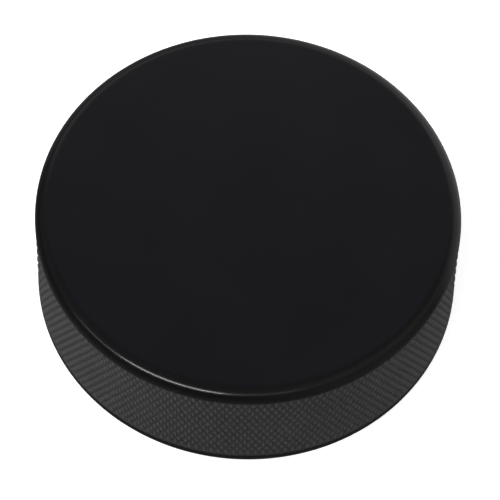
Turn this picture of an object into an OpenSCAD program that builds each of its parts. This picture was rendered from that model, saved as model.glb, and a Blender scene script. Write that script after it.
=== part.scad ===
// Ice hockey puck at regulation size: one solid disc of vulcanised rubber.
// Both faces are flat and both rims are rounded. Round the side runs a grip band of
// diamonds, cut by two sets of crossing grooves between two smooth margins.
// The origin is the centre of the bottom face, with +Z along the puck's axis.

/* [Puck] */
// Diameter over the smooth margins
puck_d = 76.2; // [70:0.1:84]
// Thickness from face to face
puck_h = 25.4; // [22:0.1:30]
// Radius of the two rounded rims
rim_r = 2.3; // [1:0.1:2.5]

/* [Grip band] */
// Height of the smooth margin between each face and the grip band, rim included
margin_h = 2.8; // [2.6:0.1:5]
// Number of diamonds in one turn of the band
diamonds_round = 180; // [120:1:180]
// Number of diamonds stacked up the height of the band, where a half is allowed
diamonds_high = 7.5; // [5:0.5:7.5]
// Depth of the grooves below the margins
groove_depth = 0.3; // [0.2:0.05:0.5]

/* [Hidden] */
arc_fn = 96;
round_fn = 360;
// The tips sit just under the margins, which guard them
tip_drop = 0.03;
puck_r = puck_d / 2;
tip_r = puck_r - tip_drop;
groove_r = puck_r - groove_depth;
// The cutter is wider than the puck by this much all round
cutter_spare = 1;
// A level is a height where grooves cross, and there are two for each diamond
levels = 2 * diamonds_high;
level_h = (puck_h - 2 * margin_h) / levels;
level_points = 2 * diamonds_round;
cutter_r = puck_r + cutter_spare;

// Round each level, groove crossings and diamond tips take turns
function is_tip(level, i) = (level + i) % 2 == 1;

function ring_point(level, i, r) =
    let (angle = i * 360 / level_points)
    [r * cos(angle), r * sin(angle), margin_h + level * level_h];

// Index of a point in the list of points, where i may run past either end of a level
function at(level, i) =
    level * level_points + (i + level_points) % level_points;

// The rings of points on the cutter's outer wall follow those of the grooves
function bottom_at(i) = at(levels + 1, i);
function top_at(i) = at(levels + 2, i);

// The faces above and below one tip, each clockwise as seen from outside the cutter
function upper_faces(level, i) = [
    [at(level, i), at(level, i + 1), at(level + 1, i)],
    [at(level, i), at(level + 1, i), at(level, i - 1)]
];
function lower_faces(level, i) = [
    [at(level, i), at(level, i - 1), at(level - 1, i)],
    [at(level, i), at(level - 1, i), at(level, i + 1)]
];

// The cutter's bottom, outer wall and top between two neighbouring points
function shell_faces(i) = [
    [at(0, i), bottom_at(i), bottom_at(i + 1), at(0, i + 1)],
    [bottom_at(i), top_at(i), top_at(i + 1), bottom_at(i + 1)],
    [top_at(i), at(levels, i), at(levels, i + 1), top_at(i + 1)]
];

// Half of the section through the plain disc
module disc_section() {
    face_r = puck_r - rim_r;
    square([face_r, puck_h]);
    translate([0, rim_r])
        square([puck_r, puck_h - 2 * rim_r]);
    for (z = [rim_r, puck_h - rim_r])
        translate([face_r, z])
            circle(r = rim_r, $fn = arc_fn);
}

module plain_disc() {
    rotate_extrude($fn = round_fn)
        disc_section();
}

// A ring whose inner wall is the surface of the diamonds
module groove_cutter() {
    points = [
        for (level = [0 : levels], i = [0 : level_points - 1])
            ring_point(level, i, is_tip(level, i) ? tip_r : groove_r),
        for (level = [0, levels], i = [0 : level_points - 1])
            ring_point(level, i, cutter_r)
    ];
    diamonds = [
        for (level = [0 : levels], i = [0 : level_points - 1])
            if (is_tip(level, i))
                each concat(
                    level < levels ? upper_faces(level, i) : [],
                    level > 0 ? lower_faces(level, i) : []
                )
    ];
    shell = [
        for (i = [0 : level_points - 1])
            each shell_faces(i)
    ];
    polyhedron(points, concat(diamonds, shell), convexity = 4);
}

// The whole puck, moulded in one piece
module puck_body() {
    color("#1b1b1e")
        difference() {
            plain_disc();
            groove_cutter();
        }
}

puck_body();
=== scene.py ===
import math

import bpy
import numpy as np
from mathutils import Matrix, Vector


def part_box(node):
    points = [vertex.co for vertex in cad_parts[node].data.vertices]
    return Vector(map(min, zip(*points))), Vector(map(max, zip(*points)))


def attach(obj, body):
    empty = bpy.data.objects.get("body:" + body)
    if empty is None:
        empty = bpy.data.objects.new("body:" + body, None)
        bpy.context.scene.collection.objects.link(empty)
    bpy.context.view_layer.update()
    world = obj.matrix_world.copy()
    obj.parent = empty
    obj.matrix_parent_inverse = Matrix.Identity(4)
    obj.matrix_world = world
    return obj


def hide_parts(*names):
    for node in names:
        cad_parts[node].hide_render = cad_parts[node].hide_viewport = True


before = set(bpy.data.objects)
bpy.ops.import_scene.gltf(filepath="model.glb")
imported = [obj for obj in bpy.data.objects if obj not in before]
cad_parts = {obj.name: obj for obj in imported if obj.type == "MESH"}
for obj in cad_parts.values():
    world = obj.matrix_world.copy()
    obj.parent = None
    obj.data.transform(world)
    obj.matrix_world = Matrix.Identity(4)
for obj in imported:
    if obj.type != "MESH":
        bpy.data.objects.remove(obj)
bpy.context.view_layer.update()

# The looks of an ice hockey puck: one disc of black vulcanised rubber with a moulded grip
# of small diamonds round its side. Everything is in metres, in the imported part's frame.

MM = 0.001
low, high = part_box("puck_body")

# ---------------------------------------------------------------- sizes
PUCK_R = (high.x - low.x) / 2  # a hair under the CAD's own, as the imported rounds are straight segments
PUCK_H = high.z - low.z
RIM_R = 2.3 * MM
FACE_R = PUCK_R - RIM_R
MARGIN_H = 2.8 * MM
DIAMONDS_ROUND = 180
DIAMONDS_HIGH = 7.5
GROOVE_DEPTH = 0.3 * MM
TIP_DROP = 0.03 * MM  # the tips sit just under the margins
LOWEST_TIP = 0.15  # share of its height over the groove that the lowest tip loses
TIP_SEED = 7
RUN_OUT = 0.9 * MM  # the grooves rise to the margins over this height

# One diamond lies between four grooves. These are the places of its mesh lines between
# one groove and the next, and the height of the rubber there: groove, flank, crest.
CELL_PLACES = (0.0, 0.12, 0.36, 0.64, 0.88, 1.0)
CELL_HEIGHTS = (0.0, 0.15, 1.0, 1.0, 0.15, 0.0)
CELL_STEPS = len(CELL_PLACES) - 1

LEVELS = round(2 * DIAMONDS_HIGH)
LEVEL_H = (PUCK_H - 2 * MARGIN_H) / LEVELS
FINE = DIAMONDS_ROUND * CELL_STEPS  # points round the ends of the grip band
COARSE = FINE // 2  # points round the margins and rims
RIM_STEPS = 14

# Rings on the flat faces, as shares of their radius, with the share of points each keeps
FACE_RINGS = (
    (0.992, 1), (0.97, 1), (0.935, 1 / 2), (0.89, 1 / 2), (0.84, 1 / 2), (0.78, 1 / 6),
    (0.71, 1 / 6), (0.63, 1 / 6), (0.55, 1 / 6), (0.46, 1 / 6),
    (0.37, 1 / 18), (0.28, 1 / 18), (0.19, 1 / 18), (0.1, 1 / 18),
)


# ---------------------------------------------------------------- mesh
class Shell:
    """Collects points and faces, and stitches rings of points together."""

    def __init__(self):
        self.points = []
        self.faces = []

    def ring(self, radius, height, count):
        first = len(self.points)
        for i in range(count):
            angle = 2 * math.pi * i / count
            self.points.append((radius * math.cos(angle), radius * math.sin(angle), height))
        return list(range(first, first + count))

    def add(self, face, upside_down):
        self.faces.append(face[::-1] if upside_down else face)

    def strip(self, lower, upper, upside_down):
        """Joins two rings. The upper one may have as many points, or a multiple of them."""
        count, ratio = len(lower), len(upper) // len(lower)
        for i in range(count):
            a, b = lower[i], lower[(i + 1) % count]
            fine = [upper[(i * ratio + k) % len(upper)] for k in range(ratio + 1)]
            if ratio == 1:
                self.add((a, b, fine[1], fine[0]), upside_down)
                continue
            middle = (ratio + 1) // 2
            for k in range(middle):
                self.add((a, fine[k + 1], fine[k]), upside_down)
            self.add((a, b, fine[middle]), upside_down)
            for k in range(middle, ratio):
                self.add((b, fine[k + 1], fine[k]), upside_down)


def cell_place(index):
    return index // CELL_STEPS + CELL_PLACES[index % CELL_STEPS]


def cell_height(p_index, q_index):
    return min(CELL_HEIGHTS[p_index % CELL_STEPS], CELL_HEIGHTS[q_index % CELL_STEPS])


def smooth(x):
    x = min(max(x, 0.0), 1.0)
    return x * x * (3 - 2 * x)


def tip_heights():
    """How high each diamond's tip stands, as a share of the full height: none is perfect.
    Each column goes up to the right from one diamond to the next."""
    random = np.random.default_rng(TIP_SEED)
    return 1 - LOWEST_TIP * random.random((DIAMONDS_ROUND, LEVELS + 2)) ** 2


def grip_band(shell):
    """Adds the diamonds on a mesh whose lines run along the grooves, and returns the rings
    at its two ends. Lines p and q run up to the right and up to the left."""
    heights = tip_heights()
    index = {}
    for p in range(FINE):
        for s in range(LEVELS * CELL_STEPS + 1):
            q = s - p
            level = cell_place(p) + cell_place(q)
            angle = (cell_place(p) - cell_place(q)) * math.pi / DIAMONDS_ROUND
            z = MARGIN_H + level * LEVEL_H
            ramp = smooth(min(z - MARGIN_H, PUCK_H - MARGIN_H - z) / RUN_OUT)
            column = p // CELL_STEPS
            row = min(max(column + q // CELL_STEPS + 1, 0), LEVELS + 1)
            tip = heights[column, row]
            drop = TIP_DROP + (GROOVE_DEPTH - TIP_DROP) * (1 - tip * cell_height(p, q))
            r = PUCK_R - ramp * drop
            index[p, s] = len(shell.points)
            shell.points.append((r * math.cos(angle), r * math.sin(angle), z))

    def at(p, s):
        # one turn further round is the same point, with p back at its start
        return index[p % FINE, s]

    top = LEVELS * CELL_STEPS
    for p in range(FINE):
        shell.faces.append((at(p, 0), at(p + 1, 0), at(p + 1, 1)))
        shell.faces.append((at(p, top - 1), at(p + 1, top), at(p, top)))
        for s in range(top - 1):
            corners = (at(p, s), at(p + 1, s + 1), at(p + 1, s + 2), at(p, s + 1))
            p_step, q_step = p % CELL_STEPS, (s - p) % CELL_STEPS
            if p_step == q_step:  # the ridge that runs up the diamond
                shell.faces.append(corners[:3])
                shell.faces.append((corners[2], corners[3], corners[0]))
            elif p_step + q_step == CELL_STEPS - 1:  # the ridge that runs across it
                shell.faces.append((corners[1], corners[2], corners[3]))
                shell.faces.append((corners[3], corners[0], corners[1]))
            else:
                shell.faces.append(corners)
    lower_end = [at(p, 0) for p in range(FINE)]
    upper_end = [at(top // 2 + p, top) for p in range(FINE)]  # so that it too starts near +X
    return lower_end, upper_end


def end_of_puck(shell, band_end, upside_down):
    """Adds the margin, rim and face at the bottom, or mirrored at the top."""

    def height(z):
        return PUCK_H - z if upside_down else z

    upper = band_end
    for z in ((MARGIN_H + RIM_R) / 2, RIM_R):
        lower = shell.ring(PUCK_R, height(z), COARSE)
        shell.strip(lower, upper, upside_down)
        upper = lower
    for k in range(1, RIM_STEPS + 1):
        a = math.pi / 2 * k / RIM_STEPS
        lower = shell.ring(FACE_R + RIM_R * math.cos(a), height(RIM_R * (1 - math.sin(a))), COARSE)
        shell.strip(lower, upper, upside_down)
        upper = lower
    for share, kept in FACE_RINGS:
        lower = shell.ring(FACE_R * share, height(0), round(COARSE * kept))
        shell.strip(lower, upper, upside_down)
        upper = lower
    centre = len(shell.points)
    shell.points.append((0.0, 0.0, height(0)))
    for i, a in enumerate(upper):
        shell.add((centre, upper[(i + 1) % len(upper)], a), upside_down)


def puck():
    shell = Shell()
    lower_end, upper_end = grip_band(shell)
    end_of_puck(shell, lower_end, False)
    end_of_puck(shell, upper_end, True)
    mesh = bpy.data.meshes.new("puck")
    mesh.from_pydata(shell.points, [], shell.faces)
    mesh.polygons.foreach_set("use_smooth", [True] * len(mesh.polygons))
    mesh.update()
    piece = bpy.data.objects.new("puck", mesh)
    bpy.context.scene.collection.objects.link(piece)
    return piece


# ---------------------------------------------------------------- shader nodes
class Nodes:
    """Short names for making shader nodes in one node tree. A Mix node has sockets of the same
    name for each kind of value, so those are picked by number."""

    def __init__(self, tree):
        self.tree = tree

    def feed(self, socket, value):
        """Links a socket to another, or sets its own value."""
        if isinstance(value, bpy.types.NodeSocket):
            self.tree.links.new(value, socket)
        else:
            socket.default_value = value

    def add(self, kind, **inputs):
        node = self.tree.nodes.new("ShaderNode" + kind)
        for name, value in inputs.items():
            self.feed(node.inputs[name.replace("_", " ")], value)
        return node

    def math(self, operation, a, b=0.0):
        node = self.add("Math")
        node.operation = operation
        self.feed(node.inputs[0], a)
        self.feed(node.inputs[1], b)
        return node.outputs[0]

    def vector(self, operation, a, b):
        node = self.add("VectorMath")
        node.operation = operation
        self.feed(node.inputs[0], a)
        self.feed(node.inputs[1], b)
        return node.outputs

    def total(self, *values):
        result = values[0]
        for value in values[1:]:
            result = self.math("ADD", result, value)
        return result

    def xyz(self, vector):
        return self.add("SeparateXYZ", Vector=vector).outputs

    def ramp(self, value, start, end, low=0.0, high=1.0):
        """A smooth step from low to high as value goes from start to end."""
        node = self.add("MapRange", Value=value, From_Min=start, From_Max=end, To_Min=low, To_Max=high)
        node.interpolation_type = "SMOOTHSTEP"
        return node.outputs["Result"]

    def noise(self, place, size, detail=2.0, roughness=0.5):
        """Noise from 0 to 1 whose features are about size metres across."""
        node = self.add("TexNoise", Vector=place, Scale=1 / size, Detail=detail, Roughness=roughness)
        return node.outputs["Fac"]

    def blend(self, share, a, b):
        """Goes from a to b, both numbers, as share goes from 0 to 1."""
        node = self.add("Mix")
        self.feed(node.inputs[0], share)
        self.feed(node.inputs[2], a)
        self.feed(node.inputs[3], b)
        return node.outputs[0]

    def blend_colour(self, share, a, b):
        """Goes from a to b, both colours, as share goes from 0 to 1."""
        node = self.add("Mix")
        node.data_type = "RGBA"
        self.feed(node.inputs[0], share)
        self.feed(node.inputs[6], a)
        self.feed(node.inputs[7], b)
        return node.outputs[2]

    def bump(self, height, depth, under=None):
        """Surface relief of the given depth in metres, on top of the relief under it."""
        node = self.add("Bump", Height=height, Distance=depth, Strength=1.0)
        if under is not None:
            self.feed(node.inputs["Normal"], under)
        return node.outputs["Normal"]


def new_material(name):
    material = bpy.data.materials.new(name)
    material.use_nodes = True
    tree = material.node_tree
    return material, Nodes(tree), tree.nodes["Principled BSDF"]


# ---------------------------------------------------------------- rubber
# The face's bluish tint is painted light: the cool cast of light from behind, put into its colour. The
# rim has the same rubber without it.
FACE_PAINTED_COOL_COLOUR = (0.0021, 0.0021, 0.0043, 1)
RIM_COLOUR = (0.0024, 0.0024, 0.0025, 1)
CREST_DUST_AND_SHEEN_COLOUR = (0.0290, 0.0290, 0.0295, 1)  # the diamonds are paler partly from scuffs and dust and partly from painted sheen, the grey that reflections of the bright floor give
# The grooves are darker than the crests: painted shade in the recesses. They share the band's paleness,
# partly dust and partly painted sheen.
GROOVE_PAINTED_SHADE_COLOUR = (0.0160, 0.0160, 0.0165, 1)

FACE_ROUGHNESS = 0.30
RIM_ROUGHNESS = 0.19
BAND_ROUGHNESS = 0.62
ROUGHNESS_SPREAD = 0.12  # how far the bloom moves the roughness

BAND_FADE = 0.7 * MM  # the band's looks come in over this height
RIM_FADE = 0.8 * MM  # the rim's looks come in over this width
GROOVE_SHADE_START = 0.1 * MM  # depth below the margins where the painted shade in the grooves starts

BLOOM_SIZE = 14 * MM  # the cloudy film that rubber grows
SPECK_SIZE = 0.9 * MM
SPECK_DEPTH = 0.008 * MM
GRAIN_SIZE = 0.16 * MM
GRAIN_DEPTH = 0.004 * MM
BLOOM_TONE = 0.3  # how much of the colour's strength the bloom and the specks make up
SPECK_TONE = 0.5


def rubber():
    material, n, shader = new_material("vulcanised_rubber")
    place = n.add("TexCoord").outputs["Object"]
    x, y, z = n.xyz(place)
    r = n.math("SQRT", n.total(n.math("MULTIPLY", x, x), n.math("MULTIPLY", y, y)))
    off_middle = n.math("ABSOLUTE", n.math("SUBTRACT", z, PUCK_H / 2))
    half_band = PUCK_H / 2 - MARGIN_H
    on_band = n.ramp(off_middle, half_band, half_band - BAND_FADE)
    on_rim = n.ramp(r, FACE_R, FACE_R + RIM_FADE)
    # darker towards the groove floors: painted shade
    in_groove_shade = n.ramp(r, PUCK_R - GROOVE_SHADE_START, PUCK_R - GROOVE_DEPTH)

    bloom = n.noise(place, BLOOM_SIZE, detail=3.0, roughness=0.55)
    speck = n.noise(place, SPECK_SIZE, detail=2.0, roughness=0.6)
    grain = n.noise(place, GRAIN_SIZE, detail=2.0, roughness=0.6)

    knurl = n.blend_colour(in_groove_shade, CREST_DUST_AND_SHEEN_COLOUR, GROOVE_PAINTED_SHADE_COLOUR)
    plain = n.blend_colour(on_rim, FACE_PAINTED_COOL_COLOUR, RIM_COLOUR)
    colour = n.blend_colour(on_band, plain, knurl)
    clouds = n.math("MULTIPLY", bloom, BLOOM_TONE)
    spots = n.math("MULTIPLY", speck, SPECK_TONE)
    tone = n.total(clouds, spots, 1 - (BLOOM_TONE + SPECK_TONE) / 2)
    n.feed(shader.inputs["Base Color"], n.vector("MULTIPLY", colour, tone)["Vector"])

    smooth_part = n.blend(on_rim, FACE_ROUGHNESS, RIM_ROUGHNESS)
    rough = n.blend(on_band, smooth_part, BAND_ROUGHNESS)
    unevenness = n.math("MULTIPLY", n.math("SUBTRACT", bloom, 0.5), ROUGHNESS_SPREAD)
    n.feed(shader.inputs["Roughness"], n.total(rough, unevenness))

    relief = n.bump(grain, GRAIN_DEPTH)
    n.feed(shader.inputs["Normal"], n.bump(speck, SPECK_DEPTH, relief))
    return material


# ---------------------------------------------------------------- camera
CENTRE = Vector((0, 0, PUCK_H / 2))
CAMERA_ELEVATION = math.radians(59.6)
CAMERA_DISTANCE = 0.7344
CAMERA_ROLL = math.radians(1.75)
SENSOR = 36.0  # millimetres, as for the lens
LENS = 292.3
CLIP_START = 0.01
AIM_RIGHT = 0.49 * MM  # where the camera points, seen from the puck's centre
AIM_UP = -1.02 * MM


def camera():
    back = Vector((0, -math.cos(CAMERA_ELEVATION), math.sin(CAMERA_ELEVATION)))
    right = Vector((1, 0, 0))
    up = back.cross(right)
    c, s = math.cos(CAMERA_ROLL), math.sin(CAMERA_ROLL)
    right, up = c * right + s * up, c * up - s * right
    place = CENTRE + back * CAMERA_DISTANCE
    back = (place - (CENTRE + right * AIM_RIGHT + up * AIM_UP)).normalized()
    right = up.cross(back).normalized()
    up = back.cross(right)
    data = bpy.data.cameras.new("camera")
    data.sensor_width = SENSOR
    data.lens = LENS
    data.clip_start = CLIP_START
    cam = bpy.data.objects.new("camera", data)
    for row in range(3):
        cam.matrix_world[row] = (right[row], up[row], back[row], place[row])
    bpy.context.scene.collection.objects.link(cam)
    bpy.context.scene.camera = cam


# ---------------------------------------------------------------- studio
WHITE = (1.0, 1.0, 1.0, 1.0)
ROOM_LIGHT = 0.23  # what the room gives to dull surfaces
NEAR_GLOW = 0.6  # the floor is a light table, so that hardly a shadow shows
FAR_GLOW = 0.85  # it is brighter away from the puck, where the panels don't reach

# What a glossy surface mirrors of the room
WALL_GLEAM = 0.03
CEILING_GLEAM = 0.12
TABLE_GLEAM = 0.05
BACK_GLEAM = 0.17
WINDOW_GLEAM = 0.48
RIGHT_GLEAM = 0.12
WINDOW_WAY = (48, 0)  # azimuth and elevation in degrees
RIGHT_WAY = (-40, 15)

FLOOR_HALF = 3.0
FLOOR_GAP = 0.02 * MM  # the puck lies this much above the floor, so that the two never share a plane
FLOOR_COLOUR = (0.85, 0.85, 0.85, 1)
FLOOR_ROUGHNESS = 0.9
GLOW_START = 0.2  # the floor's glow goes from near to far between these distances
GLOW_END = 0.8


def towards(azimuth, elevation):
    """Unit vector from the puck, with both angles in degrees and azimuth 0 along +X."""
    a, e = math.radians(azimuth), math.radians(elevation)
    return Vector((math.cos(a) * math.cos(e), math.sin(a) * math.cos(e), math.sin(e)))


def softbox(name, azimuth, elevation, distance, width, height, watts, glossy=True):
    data = bpy.data.lights.new(name, "AREA")
    data.shape = "RECTANGLE"
    data.size, data.size_y = width, height
    data.energy = watts
    light = bpy.data.objects.new(name, data)
    way = towards(azimuth, elevation)
    light.location = CENTRE + way * distance
    light.rotation_mode = "QUATERNION"
    light.rotation_quaternion = way.to_track_quat("Z", "Y")
    light.visible_glossy = glossy
    bpy.context.scene.collection.objects.link(light)


def lights():
    # azimuth, elevation, distance, width, height, watts: in degrees and metres
    softbox("left_strip", -153, 25, 0.9, 0.4, 0.1, 0.2)
    softbox("front_left_strip", -120, 29, 0.9, 0.64, 0.1, 2.5)
    softbox("front_strip", -84, 30, 0.9, 0.5, 0.1, 0.13)
    softbox("left_panel", 180, 12, 0.9, 1.3, 0.6, 22.5, glossy=False)
    softbox("right_panel", 0, 12, 0.9, 0.8, 0.5, 10.0, glossy=False)
    softbox("back_panel", 90, 42, 0.5, 0.6, 0.16, 0.11)


def room():
    """White to the camera, even light on dull surfaces, and soft shapes for gloss to mirror.
    Each ramp runs over how squarely a way faces up, down, back, the window or the right: 0 is
    across and 1 is straight at it."""
    world = bpy.data.worlds.new("studio")
    world.use_nodes = True
    n = Nodes(world.node_tree)
    way = n.add("TexCoord").outputs["Generated"]
    x, y, z = n.xyz(way)
    to_window = n.vector("DOT_PRODUCT", way, towards(*WINDOW_WAY))["Value"]
    to_right = n.vector("DOT_PRODUCT", way, towards(*RIGHT_WAY))["Value"]
    gleam = n.total(
        n.ramp(z, 0.1, 0.6, WALL_GLEAM, WALL_GLEAM + CEILING_GLEAM),
        n.ramp(z, 0.0, -0.6, 0.0, TABLE_GLEAM),
        n.ramp(y, 0.5, 0.9, 0.0, BACK_GLEAM),
        n.ramp(to_window, 0.6, 1.0, 0.0, WINDOW_GLEAM),
        n.ramp(to_right, 0.5, 0.95, 0.0, RIGHT_GLEAM),
    )
    ray = n.add("LightPath").outputs
    strength = n.blend(ray["Is Glossy Ray"], ROOM_LIGHT, gleam)
    strength = n.blend(ray["Is Camera Ray"], strength, 1.0)
    background = world.node_tree.nodes["Background"]
    n.feed(background.inputs["Color"], WHITE)
    n.feed(background.inputs["Strength"], strength)
    bpy.context.scene.world = world
    bpy.context.scene.view_settings.view_transform = "Standard"


def floor():
    half, z = FLOOR_HALF, low.z - FLOOR_GAP
    corners = [(-half, -half, z), (half, -half, z), (half, half, z), (-half, half, z)]
    mesh = bpy.data.meshes.new("floor")
    mesh.from_pydata(corners, [], [(0, 1, 2, 3)])
    piece = bpy.data.objects.new("floor", mesh)
    bpy.context.scene.collection.objects.link(piece)
    piece.visible_glossy = False
    material, n, shader = new_material("floor")
    n.feed(shader.inputs["Base Color"], FLOOR_COLOUR)
    n.feed(shader.inputs["Roughness"], FLOOR_ROUGHNESS)
    n.feed(shader.inputs["Emission Color"], WHITE)
    place = n.add("TexCoord").outputs["Object"]
    distance = n.vector("DISTANCE", place, Vector((0, 0, 0)))["Value"]
    glow = n.ramp(distance, GLOW_START, GLOW_END, NEAR_GLOW, FAR_GLOW)
    n.feed(shader.inputs["Emission Strength"], glow)
    mesh.materials.append(material)


camera()
lights()
room()
floor()
body = puck()
body.data.materials.append(rubber())
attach(body, "root")
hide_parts("puck_body")
